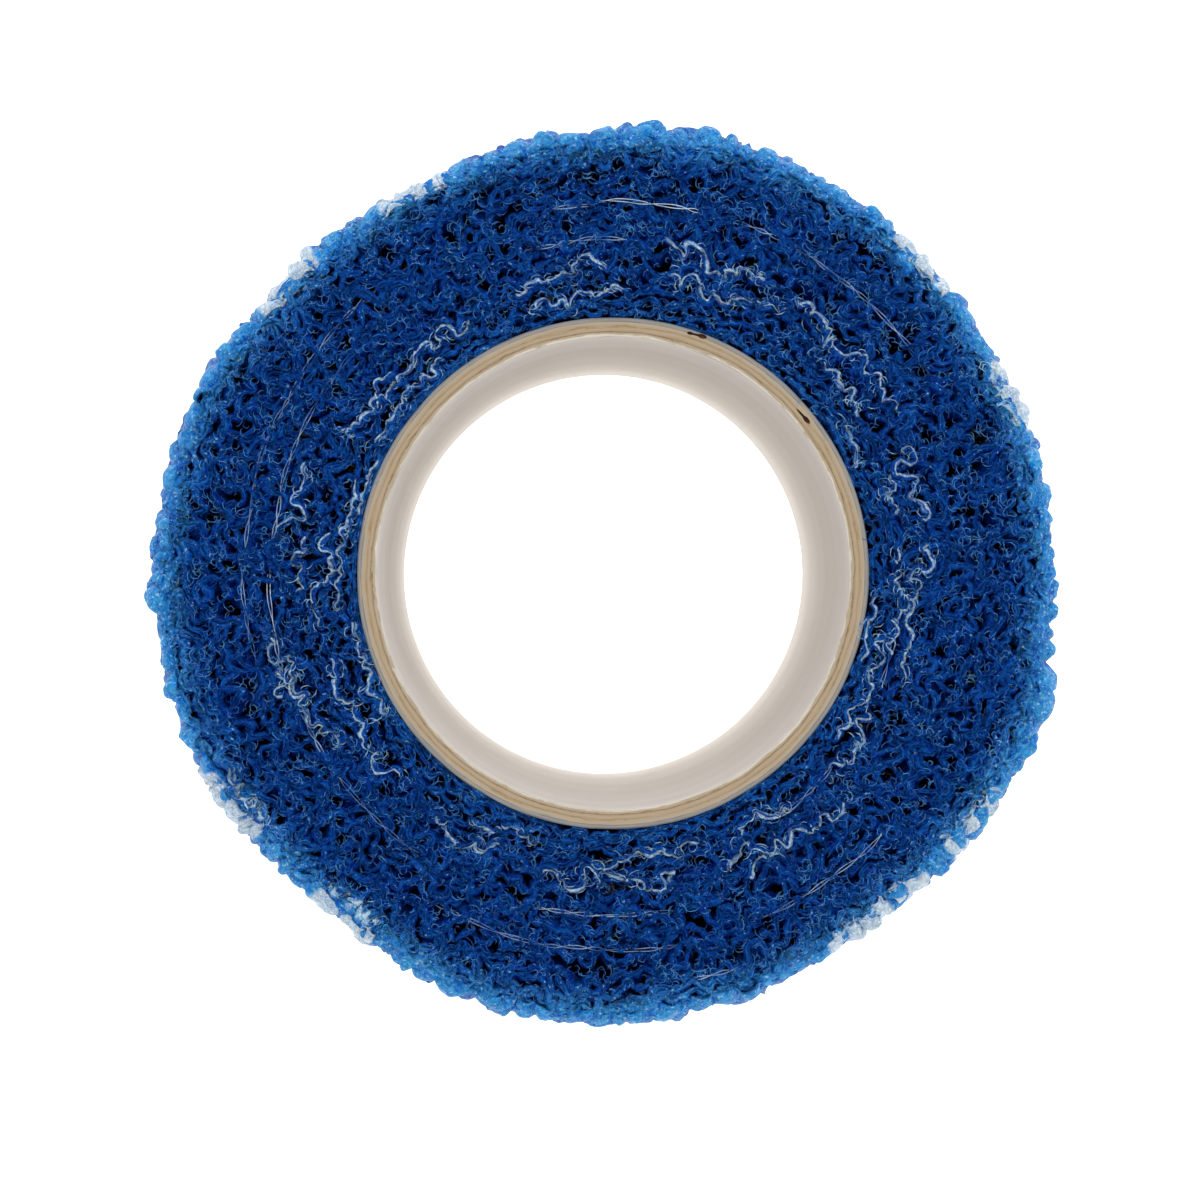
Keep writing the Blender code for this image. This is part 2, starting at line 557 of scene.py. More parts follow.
def wind_turns(name, first_turn, last_turn):
    """Some of the wrap's turns, as one closed crinkled cloth wound from end to end.

    Returns the cloth, its length when drawn out, and the places of its printed slit edges.
    """
    lines = section_lines()
    face, top, depth = (np.array(values)[None] for values in zip(*lines))
    lengths = length_at(np.array([first_turn, last_turn]))
    columns = int((lengths[1] - lengths[0]) / TURN_STEP_MM)
    cloth, column, row = laid_cloth(name, columns, len(lines) - 1)

    length = np.linspace(*lengths, columns + 1)[:, None]
    turn = turn_at(length)
    outline = outline_at(bearing_at(turn))
    lobe = (outline - EVEN_OUT_MM) * (np.maximum(turn, 0) / TURNS) ** LOBE_POWER
    radius = FIRST_TURN_MM + pitch_mm() * turn + lobe
    from_edge = under_slit_end(length, radius, face, top, depth)
    z = np.where(top, WIDTH_MM - from_edge, from_edge)
    away, angle = crinkled(length, radius, z, from_edge)
    x, y = away * np.cos(angle), away * np.sin(angle)

    run_x, run_y = np.gradient(x, axis=0), np.gradient(y, axis=0)
    run = np.hypot(run_x, run_y)
    printed = edge_ink(turn) * (top & (depth < CREST_MM))
    fuller = 1 + FULLER * smooth_step(*FULLER_TURNS, turn)
    thick = np.interp(depth, TOP_DEPTHS_MM, TOP_THICKNESS) * fuller + INK_THICKER * printed
    half = CLOTH_MM / 2 * thick * face * (1 + field_at(SKINS, length, z, face))
    places = np.stack([x + half * run_y / run, y - half * run_x / run, z], axis=-1)
    places[:, -1] = places[:, 0]
    set_points(cloth, places[column, row])

    through = INK_THROUGH + field_at(INK_THROUGH_HERE, length)
    ink = printed * np.select([face == 1, face == 0], [1.0, INK_IN_GROOVE], through)
    crest = np.broadcast_to(((depth < CREST_MM) & (face != 0)) * 1.0, z.shape)
    # Painted light and shade: darker deep under the slit edge, paler at its crest, near the outline and
    # next to the core.
    painted_shading = PALE_WEB + PALE_EDGE * np.exp(-depth / PALE_EDGE_MM) + PALE_CREST * crest
    painted_shading = painted_shading + PALE_OUTLINE * painted_rim_light(outline - away)
    painted_shading = painted_shading + PALE_CORE * smooth_step(PALE_CORE_TURNS, 0.0, turn)
    for attribute, values in (("ink", ink), ("painted_shading", painted_shading), ("crest", crest)):
        add_attribute(cloth, attribute, values[column, row])
    close_seam(cloth)
    drawn_out = run[:, 0].sum()
    crest_line = lines.index(Line(0, True, 0))
    printed_edge = places[edge_ink(turn[:, 0]) > 0, crest_line]
    return cloth, drawn_out, printed_edge


# ---------------------------------------------------------------- the outermost turn


# The puffs of the outermost turn's crinkles, and the creases between them. Their cells are one
# unit apart, and the fields of the first three rows are in such units.
PUFF_ALONG = Field(0.42, (1.0, 1.0), seed=33)
PUFF_UP = Field(0.42, (1.0, 1.0), seed=34)
PUFF_LIFTS = Field(0.25, (1.0, 1.0), seed=35)
PUFF_LIFT = 0.75
PUFF_STEEP = 1.9
PUFF_DOMED = 0.30
PUFF_LONG_MM = 1.35
PUFF_HIGH_MM = 2.5
PUFF_OUT_MM = 0.86
PUFF_SUNK_MM = 0.60
PUFF_OVER_END = 0.9
PUFF_SWAYS = Field(0.50, (3.0, 3.5), seed=31)
PUFF_FINE_SWAYS = Field(0.25, (1.2, 1.5), seed=32)
PUFF_SWAY_UP = 0.3
PUFF_GRAIN = Field(0.07, (0.5, 0.7), seed=36)

# The outermost turn lies this far under the outline, and its puffs fill the rest. It shares a
# little of the folds of the turns under it.
LAST_UNDER_MM = 0.90
LAST_FOLDS_OUT = 0.14
LAST_FOLDS_BACK = 0.2
LAST_OVER_END_MM = 0.2
LAST_ROW_MM = 0.66
SHOULDER_ROWS = 12
SHOULDER_REACH = Field(0.90, (9.0,), seed=37, around=140)
LIP_INSET_MM = 0.75

# The lift from which a puff takes ink, and the lift that is inked whole.
INK_FROM_MM = 0.05
INK_WHOLE_MM = 0.30

# How pale the outermost turn is painted, from 0 to 1, as painted light: all over, at the slit
# ends, where that fades down the side, how much of it fades, and on the puffs, which stand out
# into the light.
PALE_LAST = 0.20
PALE_ENDS = 0.46
PALE_ENDS_LOST = 0.34
PALE_ENDS_MM = (0.6, 4.2)
PALE_ENDS_INSET_MM = 0.5
PALE_PUFF = 0.26
PALE_PUFF_MM = 0.5


def puffs(along, up):
    """Rounded puffs with creases between them, 0 to 1, in cells one unit apart."""
    nearest = np.full(along.shape, np.inf)
    second = np.full(along.shape, np.inf)
    lift = np.zeros(along.shape)
    for step_along in (-1, 0, 1):
        for step_up in (-1, 0, 1):
            cell = (np.floor(along) + step_along, np.floor(up) + step_up)
            middle_along = cell[0] + 0.5 + field_at(PUFF_ALONG, *cell)
            middle_up = cell[1] + 0.5 + field_at(PUFF_UP, *cell)
            away = np.hypot(along - middle_along, up - middle_up)
            nearer = away < nearest
            second = np.where(nearer, nearest, np.minimum(second, away))
            lift = np.where(nearer, PUFF_LIFT + field_at(PUFF_LIFTS, *cell), lift)
            nearest = np.where(nearer, away, nearest)
    rounded = np.sqrt(np.clip((second - nearest) * PUFF_STEEP, 0, 1))
    return lift * rounded * (1 - PUFF_DOMED * nearest**2)


def last_turn_rows():
    """(inset, height) of each line from the lower lip, over its shoulder, up to the upper lip."""
    first = math.asin(1 - LIP_INSET_MM / SHOULDER_IN_MM)
    quarter = np.linspace(first, math.pi / 2, SHOULDER_ROWS + 1)[:-1]
    low = []
    for angle in quarter:
        inset = SHOULDER_IN_MM * (1 - math.sin(angle))
        low.append((inset, SHOULDER_DOWN_MM * (1 - math.cos(angle))))
    count = round((WIDTH_MM - 2 * SHOULDER_DOWN_MM) / LAST_ROW_MM)
    heights = np.linspace(SHOULDER_DOWN_MM, WIDTH_MM - SHOULDER_DOWN_MM, count)
    side = [(0.0, z) for z in heights]
    high = [(inset, WIDTH_MM - z) for inset, z in reversed(low)]
    return np.array(low + side + high)


class Lip(NamedTuple):
    """A line behind a slit edge of the outermost turn: how far in from it, and how far down."""

    in_mm: float
    down_mm: float


LIPS = (Lip(0.10, 0.05), Lip(0.14, 1.1))


def lip_lines(edge, bearing, up):
    """The lines that turn a slit edge in and back. Up is 1 at the upper end and -1 at the lower."""
    lines = []
    for lip in LIPS:
        down = np.full(bearing.shape, up * lip.down_mm)
        x, y = lip.in_mm * np.cos(bearing), lip.in_mm * np.sin(bearing)
        lines.append(edge - np.stack([x, y, down], axis=-1))
    return lines


def wind_last_turn(name, first_turn, last_turn):
    """Part of the outermost turn: the puffed side, with both shoulders and slit edges.

    Returns the cloth and its length when drawn out.
    """
    rows = last_turn_rows()
    lengths = length_at(np.array([first_turn, last_turn]))
    columns = int((lengths[1] - lengths[0]) / LAST_STEP_MM)
    cloth, column, row = laid_cloth(name, columns, len(rows) + 2 * len(LIPS) - 1)

    length = np.linspace(*lengths, columns + 1)[:, None]
    bearing = bearing_at(turn_at(length))
    inset, height = rows[:, 0][None], rows[:, 1][None]
    over = inset / SHOULDER_IN_MM
    inset = inset + over * field_at(SHOULDER_REACH, bearing, height)
    steps_up = np.hypot(*np.diff(rows, axis=0).T)
    climb = np.concatenate([[0], np.cumsum(steps_up)])[None]
    sway = field_at(PUFF_SWAYS, length, climb) + field_at(PUFF_FINE_SWAYS, length, climb)
    lift = puffs(length / PUFF_LONG_MM + sway, climb / PUFF_HIGH_MM + PUFF_SWAY_UP * sway)
    lift = PUFF_OUT_MM * lift + field_at(PUFF_GRAIN, length, climb)

    face_out = np.cos(np.clip(over, 0, 1) * math.pi / 2)
    face_up = np.sqrt(1 - face_out**2) * np.sign(height - WIDTH_MM / 2)
    radius = outline_at(bearing) - inset - LAST_UNDER_MM + lift * face_out
    out, back = pressed_folds(bearing, radius, height)
    angle = bearing + LAST_FOLDS_BACK * back / radius
    radius = radius + LAST_FOLDS_OUT * out
    z = height + (lift - PUFF_SUNK_MM) * face_up * PUFF_OVER_END
    places = np.stack([radius * np.cos(angle), radius * np.sin(angle), z], axis=-1)
    low = lip_lines(places[:, 0], bearing[:, 0], -1)
    high = lip_lines(places[:, -1], bearing[:, 0], 1)
    places = np.concatenate([np.stack(low[::-1], 1), places, np.stack(high, 1)], axis=1)
    places[..., 2] = np.clip(places[..., 2], CLEAR_MM, WIDTH_MM + LAST_OVER_END_MM)
    set_points(cloth, places[column, row])

    ink = bar_ink(bearing, height) * smooth_step(INK_FROM_MM, INK_WHOLE_MM, lift)
    # Painted light: paler at the slit ends, fading down the side, and on the puffs.
    down_side = smooth_step(*PALE_ENDS_MM, np.minimum(z, WIDTH_MM - z))
    pale_ends = PALE_ENDS - PALE_ENDS_LOST * down_side
    painted_shading = PALE_LAST + pale_ends * painted_rim_light(inset + PALE_ENDS_INSET_MM)
    painted_shading = painted_shading + PALE_PUFF * smooth_step(0.0, PALE_PUFF_MM, lift)
    for attribute, values in (("ink", ink), ("painted_shading", painted_shading)):
        values = np.pad(values, ((0, 0), (len(LIPS), len(LIPS))), mode="edge")
        add_attribute(cloth, attribute, values[column, row])
    cloth.data.shade_smooth()
    steps = np.linalg.norm(np.diff(places, axis=0), axis=2)
    return cloth, steps.sum(axis=0).mean()


# ---------------------------------------------------------------- filaments and yarns


class YarnRun(NamedTuple):
    """A stretch where an elastic yarn shows on the upper slit end, lying along its turn, how far
    under the cloth's edges it lies, and how bare of blue web it is, from 0 to 1."""

    radius_mm: float
    from_deg: float
    to_deg: float
    under_mm: float
    bare: float


YARN_RUNS = [
    YarnRun(20.1, 74, 93, -0.05, 1.0),
    YarnRun(19.9, 93, 100, 0.15, 0.6),
    YarnRun(20.1, 30, 74, 0.15, 0.4),
    YarnRun(18.0, 85, 106, 0.12, 0.35),
    YarnRun(19.9, 120, 204, 0.14, 0.25),
    YarnRun(18.5, 180, 200, 0.05, 0.7),
    YarnRun(18.4, 135, 180, 0.14, 0.3),
    YarnRun(18.4, 200, 240, 0.14, 0.3),
    YarnRun(20.2, -69, -41, 0.10, 0.6),
    YarnRun(20.3, -120, -72, 0.16, 0.4),
    YarnRun(18.5, -106, -78, 0.05, 0.7),
    YarnRun(22.4, -79, -72, 0.08, 0.6),
    YarnRun(15.8, -58, -40, 0.12, 0.5),
    YarnRun(15.6, -28, 0, 0.12, 0.5),
]
YARN_POINTS = 90

# A yarn's two strands: their distance from its middle, sideways and up, and the length of a
# twist. The yarn wanders, and its ends sink under the edges from this share of its half length.
YARN_PLY_MM = 0.09
YARN_PLY_UP_MM = 0.03
YARN_TWIST_MM = 3.4
YARN_TWISTS = Field(2.0, (2.0,), seed=90)
YARN_SWAYS = Field(0.10, (2.1,), seed=50)
YARN_RISES = Field(0.10, (1.4,), seed=70)
YARN_UNDER_MM = 0.12
YARN_END_DOWN_MM = 0.7
YARN_END_FROM = 0.6


class Curl(NamedTuple):
    """A kind of loose filament: how many, how far their headings spread from along the turn, and
    the least and the most that one bends. Angles are in radians."""

    count: int
    heading_spread: float
    least_bend: float
    most_bend: float
    seed: int


LOOSE = Curl(10000, 0.90, 1.4, 4.2, seed=5)
PRINTED = Curl(760, 0.32, 1.0, 3.6, seed=6)
FILAMENT_POINTS = 4
FILAMENT_LONG_MM = (0.3, 0.95)
FILAMENT_TILT_MM = 0.25

# Where loose filaments lie: how deep under the slit edges, and how far inside the outline. The
# printed ones are scattered about the printed edges, sideways and up.
LOOSE_DEEP_MM = 0.55
LOOSE_INSET_MM = 1.4
PRINTED_ASIDE_MM = 0.06
PRINTED_UP_MM = 0.12

# Single filaments and the plies of a yarn are about 0.02 and 0.03 mm thick, too fine to show, so
# they are drawn about twice as thick.
FILAMENT_MM = 0.040
YARN_MM = 0.056
STRAND_SIDES = 3
STRAND_TIP_MM = 0.001

# Copies of the flat grid, which is 2 wide, stand this far apart until they are shaped.
COPY_APART = 3


def round_strands(name, paths_mm, thickness_mm, bare=None):
    """Many three-sided strands of one point count, closed at their ends, as one piece.

    Bare, where it is given, has one value for each strand, kept as an attribute of its points.
    """
    count, points, _ = paths_mm.shape
    strand, column, row = laid_cloth(name, points - 1, STRAND_SIDES)
    repeat = strand.modifiers.new("repeat", "ARRAY")
    repeat.use_relative_offset = False
    repeat.use_constant_offset = True
    repeat.constant_offset_displace = (COPY_APART, 0, 0)
    repeat.count = count
    bpy.ops.object.modifier_apply(modifier=repeat.name)

    ahead = np.gradient(paths_mm, axis=1)
    ahead /= np.linalg.norm(ahead, axis=2, keepdims=True)
    sideways = np.cross(ahead, (0, 0, 1))
    sideways /= np.linalg.norm(sideways, axis=2, keepdims=True)
    upwards = np.cross(sideways, ahead)
    half = np.full(points, thickness_mm / 2)
    half[[0, -1]] = STRAND_TIP_MM
    half = half[column][None, :, None]
    turned = (TAU * row / STRAND_SIDES)[None, :, None]
    round_it = sideways[:, column] * np.cos(turned) + upwards[:, column] * np.sin(turned)
    set_points(strand, (paths_mm[:, column] + round_it * half).reshape(-1, 3))
    if bare is not None:
        add_attribute(strand, "bare", np.repeat(bare, len(column)))
    close_seam(strand)
    return strand


def curled_paths(draw, kind, x, y, z, heading):
    """Short curled paths of one kind from places and headings, each a column of numbers."""
    size = (kind.count, 1)
    long = draw.uniform(*FILAMENT_LONG_MM, size)
    bend = draw.uniform(kind.least_bend, kind.most_bend, size) * draw.choice([-1, 1], size)
    part = np.linspace(-0.5, 0.5, FILAMENT_POINTS)[None]
    heading = heading + bend * part
    step = long / (FILAMENT_POINTS - 1)
    x = x + np.cumsum(np.cos(heading), axis=1) * step
    y = y + np.cumsum(np.sin(heading), axis=1) * step
    tilt = draw.uniform(-FILAMENT_TILT_MM, FILAMENT_TILT_MM, size)
    return np.stack([x, y, z + tilt * part], axis=-1)


def printed_filament_paths(edges_mm):
    """Curls that stand off the slit edges where the print runs over them."""
    draw = np.random.default_rng(PRINTED.seed)
    size = (PRINTED.count, 1)
    pick = draw.integers(0, len(edges_mm) - 1, PRINTED.count)
    x, y, z = edges_mm[pick].T[..., None]
    ahead = edges_mm[pick + 1] - edges_mm[pick]
    along = np.arctan2(ahead[:, 1], ahead[:, 0])[:, None]
    heading = along + draw.normal(0, PRINTED.heading_spread, size)
    x = x + draw.normal(0, PRINTED_ASIDE_MM, size)
    y = y + draw.normal(0, PRINTED_ASIDE_MM, size)
    z = z + GROOVE_MM + draw.uniform(-PRINTED_UP_MM, PRINTED_UP_MM, size)
    return curled_paths(draw, PRINTED, x, y, np.minimum(z, WIDTH_MM), heading)


def loose_filament_paths():
    """Short curled paths just above and between the slit edges, mostly along the turns."""
    draw = np.random.default_rng(LOOSE.seed)
    size = (LOOSE.count, 1)
    bearing = draw.uniform(0, TAU, size)
    reach = outline_at(bearing) - LOOSE_INSET_MM
    share_out = draw.uniform(0, 1, size)
    radius = np.sqrt(share_out * (reach**2 - FIRST_TURN_MM**2) + FIRST_TURN_MM**2)
    heading = bearing + math.pi / 2 + draw.normal(0, LOOSE.heading_spread, size)
    drop = shoulder_drop(outline_at(bearing) - radius - UNDER_SHOULDER_MM)
    z = WIDTH_MM - drop - draw.uniform(0.0, LOOSE_DEEP_MM, size)
    x, y = radius * np.cos(bearing), radius * np.sin(bearing)
    return curled_paths(draw, LOOSE, x, y, z, heading)


def yarn_paths():
    """Each elastic yarn as two fine strands, twisted round each other along their turn."""
    paths = []
    from_middle = np.abs(np.linspace(-1, 1, YARN_POINTS))
    sunk = YARN_UNDER_MM + YARN_END_DOWN_MM * smooth_step(YARN_END_FROM, 1.0, from_middle)
    for number, run in enumerate(YARN_RUNS):
        bearing = np.radians(np.linspace(run.from_deg, run.to_deg, YARN_POINTS))
        along = bearing * run.radius_mm
        middle = run.radius_mm + field_at(YARN_SWAYS, along, piece=number)
        height = WIDTH_MM - sunk - run.under_mm + field_at(YARN_RISES, along, piece=number)
        twist = TAU * along / YARN_TWIST_MM + field_at(YARN_TWISTS, along, piece=number)
        for turned in (twist, twist + math.pi):
            radius = middle + YARN_PLY_MM * np.cos(turned)
            z = height + YARN_PLY_UP_MM * np.sin(turned)
            x, y = radius * np.cos(bearing), radius * np.sin(bearing)
            paths.append(np.stack([x, y, z], axis=-1))
    return np.array(paths)


# ---------------------------------------------------------------- the core


class Ring(NamedTuple):
    """One ring of the core's section: its distance out from the bore, and how far it is sunk."""

    out_mm: float
    sunk_mm: float


# Across the slit end of the tube, from the bore out: liner, plies, and the glue between them.
RIM_RINGS = [
    Ring(0.00, 0.16),
    Ring(0.03, 0.05),
    Ring(0.08, 0.00),
    Ring(0.12, 0.03),
    Ring(0.20, 0.02),
    Ring(0.28, 0.03),
    Ring(0.305, 0.06),
    Ring(0.335, 0.05),
    Ring(0.36, 0.02),
    Ring(0.46, 0.01),
    Ring(0.56, 0.02),
    Ring(0.58, 0.04),
    Ring(0.61, 0.04),
    Ring(0.64, 0.02),
    Ring(0.75, 0.00),
    Ring(0.86, 0.01),
    Ring(0.88, 0.05),
    Ring(0.91, 0.02),
    Ring(1.00, 0.02),
    Ring(1.07, 0.06),
    Ring(1.11, 0.18),
]
CORE_POINTS_ROUND = 240
CORE_WALL_STEPS = 5
CORE_END_MM = 0.3
SHARP_DEG = 40

# The slitting knife frays the rims: how deep under the slit end that reaches, and how wide it is
# at the bore and the outside. Each pair is where it starts and where it is whole. Sizes are
# outwards, and then from one end to the other.
FRAYED_DEEP_MM = (0.30, 0.05)
FRAYED_WIDE_MM = (0.14, 0.02)
RIM_NIBS = Field(0.030, (0.12, 1 / 7), seed=61, around=150)
RIM_WAVES = Field(0.022, (0.5, 1 / 7), seed=62, around=50)
BORE_NIBS = Field(0.05, (1 / 7,), seed=63, around=110)
OUTSIDE_DENTS = Field(0.05, (1 / 7,), seed=64, around=36)


class Split(NamedTuple):
    """A dark split between two plies at the upper end of the core."""

    bearing_deg: float
    radius_mm: float
    long_mm: float
    wide_mm: float
    turned_deg: float


# A wider cut at one end of a long thin one makes a wedge. Half of the cutter's depth cuts.
SPLIT_DEEP_MM = 0.55
CORE_SPLITS = [
    Split(70.6, 13.62, 1.15, 0.12, 5.5),
    Split(69.4, 13.65, 0.52, 0.26, 5.5),
    Split(72.2, 13.59, 0.34, 0.18, 5.5),
    Split(39.6, 13.30, 1.10, 0.13, 3.0),
    Split(38.5, 13.31, 0.55, 0.24, 3.0),
]


def extrude_ring(radius_mm, height_mm, from_radius_mm, from_height_mm):
    """Extrudes the selected ring of edges, and resizes and lifts the new ring."""
    bpy.ops.mesh.extrude_edges_move()
    grow = radius_mm / from_radius_mm
    bpy.ops.transform.resize(value=(grow, grow, 1), center_override=(0, 0, 0))
    bpy.ops.transform.translate(value=(0, 0, (height_mm - from_height_mm) * MM))


def wound_core(name):
    """The tube: up the bore, out over the upper rim, down the outside and in under the lower."""
    step_mm = (WIDTH_MM - 2 * CORE_END_MM) / CORE_WALL_STEPS
    section = [(BORE_MM, CORE_END_MM + step_mm * step) for step in range(CORE_WALL_STEPS + 1)]
    section += [(BORE_MM + ring.out_mm, WIDTH_MM - ring.sunk_mm) for ring in RIM_RINGS]
    section += [(BORE_MM + ring.out_mm, ring.sunk_mm) for ring in reversed(RIM_RINGS)]
    first_radius, first_height = section[0]
    deselect_all()
    bpy.ops.mesh.primitive_circle_add(
        vertices=CORE_POINTS_ROUND, radius=first_radius * MM, location=(0, 0, first_height * MM)
    )
    core = bpy.context.object
    core.name = core.data.name = name
    bpy.ops.object.transform_apply(location=True, rotation=False, scale=False)
    bpy.ops.object.mode_set(mode="EDIT")
    bpy.ops.mesh.select_mode(type="EDGE")
    bpy.ops.mesh.select_all(action="SELECT")
    for (from_radius, from_height), (radius, height) in zip(section, section[1:]):
        extrude_ring(radius, height, from_radius, from_height)
    extrude_ring(first_radius, first_height, *section[-1])
    bpy.ops.mesh.select_all(action="SELECT")
    bpy.ops.mesh.remove_doubles(threshold=MERGE_M)
    bpy.ops.mesh.normals_make_consistent(inside=False)
    bpy.ops.object.mode_set(mode="OBJECT")
    return core


def roughen_rims(core):
    """Frays the slit ends of the tube a little, as a slitting knife leaves them."""
    places = np.empty(len(core.data.vertices) * 3)
    core.data.vertices.foreach_get("co", places)
    x, y, z = places.reshape(-1, 3).T / MM
    radius, bearing = np.hypot(x, y), np.arctan2(y, x)
    upper = z > WIDTH_MM / 2
    at_rim = smooth_step(*FRAYED_DEEP_MM, np.where(upper, WIDTH_MM - z, z))
    at_bore = smooth_step(*FRAYED_WIDE_MM, radius - BORE_MM) * at_rim
    at_outside = smooth_step(*FRAYED_WIDE_MM, CORE_OUT_MM - radius) * at_rim
    rough = field_at(RIM_NIBS, bearing, radius, upper) + field_at(RIM_WAVES, bearing, radius, upper)
    z = np.clip(z + rough * at_rim, 0, WIDTH_MM)
    nib = np.maximum(field_at(BORE_NIBS, bearing, upper), 0)
    dent = np.maximum(field_at(OUTSIDE_DENTS, bearing, upper), 0)
    grow = 1 + (nib * at_bore - dent * at_outside) / radius
    set_points(core, np.stack([x * grow, y * grow, z], axis=-1))


def cut_splits(core):
    """Opens the dark splits between plies, each with a flattened ball as its cutter."""
    split_shade = painted_shade_board()
    for split in CORE_SPLITS:
        bearing = math.radians(split.bearing_deg)
        out = split.radius_mm * MM
        deselect_all()
        bpy.ops.mesh.primitive_ico_sphere_add(
            subdivisions=3,
            radius=0.5 * MM,
            location=(out * math.cos(bearing), out * math.sin(bearing), WIDTH_MM * MM),
            rotation=(0, 0, bearing + math.radians(90 + split.turned_deg)),
            scale=(split.long_mm, split.wide_mm, SPLIT_DEEP_MM),
        )
        cutter = bpy.context.object
        # The cut faces take this material: painted shade, dark brown deep in the split.
        cutter.data.materials.append(split_shade)
        cut = core.modifiers.new("split", "BOOLEAN")
        cut.object = cutter
        cut.material_mode = "TRANSFER"
        bpy.context.view_layer.objects.active = core
        bpy.ops.object.modifier_apply(modifier=cut.name)
        bpy.data.objects.remove(cutter, do_unlink=True)


def build_core():
    """The finished core, in place of the CAD's plain tube."""
    core = wound_core("spiral_wound_core")
    core.data.materials.append(core_board())
    roughen_rims(core)
    cut_splits(core)
    deselect_all()
    core.select_set(True)
    bpy.context.view_layer.objects.active = core
    bpy.ops.object.shade_smooth_by_angle(angle=math.radians(SHARP_DEG))
    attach(core, "root")
    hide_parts("paper_core")


# ---------------------------------------------------------------- materials


def hex_colour(code):
    """An sRGB hex colour as linear RGBA."""
    parts = [int(code[i : i + 2], 16) / 255 for i in (1, 3, 5)]
    return (*(p / 12.92 if p <= 0.04045 else ((p + 0.055) / 1.055) ** 2.4 for p in parts), 1)


def add_node(tree, kind, inputs=None, settings=None, stops=()):
    """Adds a shader node, by its kind's name after "ShaderNode". An input is another node's output
    or a value, settings are the node's own, and stops are the (place, hex code) pairs of a colour
    ramp, with its two ends first."""
    node = tree.nodes.new(f"ShaderNode{kind}")
    for name, value in (settings or {}).items():
        setattr(node, name, value)
    for name, source in (inputs or {}).items():
        if isinstance(source, bpy.types.NodeSocket):
            tree.links.new(source, node.inputs[name])
        else:
            node.inputs[name].default_value = source
    for number, (place, code) in enumerate(stops):
        band = node.color_ramp.elements
        element = band[number] if number < 2 else band.new(place)
        element.position = place
        element.color = hex_colour(code)
    return node


def new_material(name):
    material = bpy.data.materials.new(name)
    material.use_nodes = True
    tree = material.node_tree
    return material, tree, tree.nodes["Principled BSDF"]


class FilamentLines(NamedTuple):
    """Fine curly lines: how many bends for each millimetre, and how far from its middle value a
    soft noise still counts as line, which makes them wider."""

    per_mm: float
    wide: float


# Single filaments are about 0.02 mm, too fine to show, so the lines are drawn a few times wider.
FILAMENT_LINES = (
    FilamentLines(per_mm=1.2, wide=0.040),
    FilamentLines(per_mm=2.0, wide=0.056),
    FilamentLines(per_mm=3.1, wide=0.072),
)
# Painted highlights: how much more often the painted glints come where the web is painted pale.
PAINTED_GLINT_IN_PALE = 0.12


